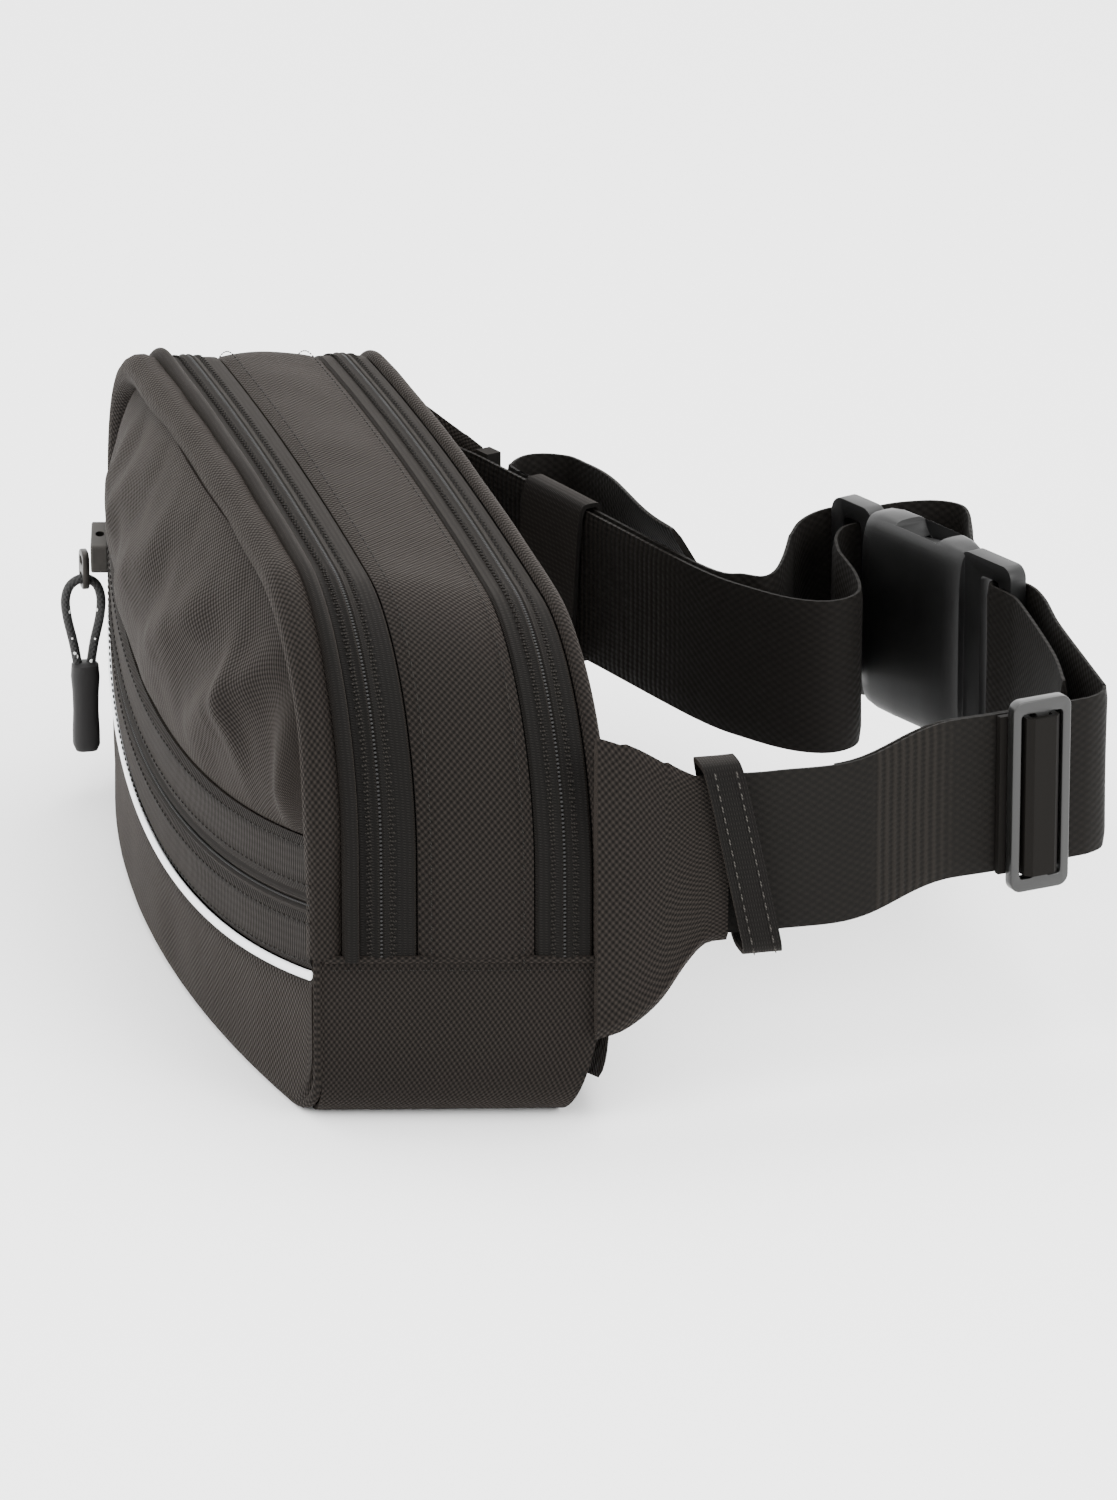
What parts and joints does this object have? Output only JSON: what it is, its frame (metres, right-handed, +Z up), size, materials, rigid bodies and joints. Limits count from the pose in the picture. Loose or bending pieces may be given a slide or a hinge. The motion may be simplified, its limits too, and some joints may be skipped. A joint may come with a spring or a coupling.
{
  "type": "hip bag",
  "caption": "Gusseted hip bag with a curved front pocket, zipped arch compartments, padded wings and a webbing belt closed by a side-release buckle.",
  "frame": {"origin": "middle of the bag's flat bottom, below the seam between the middle gusset and the rear zip", "axes": "+X across the bag towards the adjuster's side, +Y out of the back towards the wearer and the belt, +Z up"},
  "size_m": [0.2797, 0.2061, 0.1197],
  "materials": {
    "pack_cloth": "matte",
    "zip_tape": "matte",
    "webbing": "satin",
    "lining": "matte",
    "reflective": "satin",
    "acetal": "satin",
    "zip_coil": "satin",
    "diecast": "satin",
    "cord": "matte",
    "grip": "matte"
  },
  "bodies": {
    "bag": {"bottom_gusset": "pack_cloth", "back_panel": "pack_cloth", "gusset_middle": "pack_cloth", "front_zip_tape": "zip_tape", "rear_zip_tape": "zip_tape", "rear_flange": "pack_cloth", "divider_panel": "lining", "front_panel_lower": "pack_cloth", "front_pocket": "pack_cloth", "pocket_tape_lower": "zip_tape", "pocket_tape_upper": "zip_tape", "pocket_zip_coil": "zip_coil", "reflective_piping": "reflective", "edge_roll": "pack_cloth", "front_zip_coil": "zip_coil", "rear_zip_coil": "zip_coil", "wing_right": "pack_cloth", "wing_binding_right": "zip_tape", "wing_left": "pack_cloth", "wing_binding_left": "zip_tape", "webbing_right": "webbing", "webbing_right_loop": "webbing", "webbing_left": "webbing", "webbing_left_tail": "webbing", "buckle_female": "acetal"},
    "pocket_slider_body": {"pocket_slider": "diecast"},
    "pocket_pull": {"pocket_tab": "diecast", "pocket_cord": "cord", "pocket_grip": "grip"},
    "front_zip_slider_body": {"front_zip_slider": "diecast"},
    "front_zip_pull": {"front_zip_tab": "diecast", "front_zip_cord": "cord", "front_zip_grip": "grip"},
    "rear_zip_slider_body": {"rear_zip_slider": "diecast"},
    "rear_zip_pull": {"rear_zip_tab": "diecast", "rear_zip_cord": "cord", "rear_zip_grip": "grip"},
    "keeper_right_body": {"keeper_right": "webbing"},
    "keeper_left_body": {"keeper_left": "webbing"},
    "adjuster": {"tri_glide": "acetal", "webbing_sewn_end": "webbing"},
    "buckle_male_body": {"buckle_male": "acetal", "webbing_bar_loop": "webbing"},
    "prong_upper": {"buckle_prong_upper": "acetal"},
    "prong_lower": {"buckle_prong_lower": "acetal"}
  },
  "joints": [
    {"name": "pocket_zip_run", "type": "hinge", "parent": "bag", "child": "pocket_slider_body", "pos_m": [0.01404, 0.17222, 0.29998], "axis": [0.0371, -0.7375, 0.6744], "range_deg": [0, 34]},
    {"name": "pocket_pull_swing", "type": "hinge", "parent": "pocket_slider_body", "child": "pocket_pull", "pos_m": [-0.10813, -0.05754, 0.06295], "axis": [1, 0, 0], "range_deg": [-95, 0]},
    {"name": "front_zip_run", "type": "hinge", "parent": "bag", "child": "front_zip_slider_body", "pos_m": [-0.08626, -0.03365, 0.07949], "axis": [0, 1, 0], "range_deg": [0, 84]},
    {"name": "front_pull_swing", "type": "hinge", "parent": "front_zip_slider_body", "child": "front_zip_pull", "pos_m": [-0.12991, -0.03365, 0.07949], "axis": [0, 1, 0], "range_deg": [0, 80]},
    {"name": "rear_zip_run", "type": "hinge", "parent": "bag", "child": "rear_zip_slider_body", "pos_m": [-0.09547, 0.0064, 0.07412], "axis": [0, 1, 0], "range_deg": [0, 84]},
    {"name": "rear_pull_swing", "type": "hinge", "parent": "rear_zip_slider_body", "child": "rear_zip_pull", "pos_m": [-0.13912, 0.0064, 0.07412], "axis": [0, 1, 0], "range_deg": [0, 80]},
    {"name": "keeper_right_slide", "type": "slide", "parent": "bag", "child": "keeper_right_body", "axis": [-0.0318, 0.9995, 0], "range_m": [-0.001, 0.01]},
    {"name": "keeper_left_slide", "type": "slide", "parent": "bag", "child": "keeper_left_body", "axis": [0.9492, 0.3147, 0], "range_m": [-0.004, 0.03]},
    {"name": "adjuster_slide", "type": "slide", "parent": "bag", "child": "adjuster", "axis": [-0.2374, 0.9714, 0], "range_m": [-0.01, 0.004]},
    {"name": "buckle_release", "type": "slide", "parent": "bag", "child": "buckle_male_body", "axis": [-0.9272, -0.3746, 0], "range_m": [0, 0.025]},
    {"name": "prong_upper_squeeze", "type": "hinge", "parent": "buckle_male_body", "child": "prong_upper", "pos_m": [-0.01487, 0.11918, 0.0843], "axis": [-0.3746, 0.9272, 0], "range_deg": [0, 15]},
    {"name": "prong_lower_squeeze", "type": "hinge", "parent": "buckle_male_body", "child": "prong_lower", "pos_m": [-0.01487, 0.11918, 0.0477], "axis": [0.3746, -0.9272, 0], "range_deg": [0, 15]}
  ],
  "couplings": [
    {"joint": "prong_upper_squeeze", "follows": "buckle_release", "rad_per_m": 10},
    {"joint": "prong_lower_squeeze", "follows": "buckle_release", "rad_per_m": 10}
  ]
}
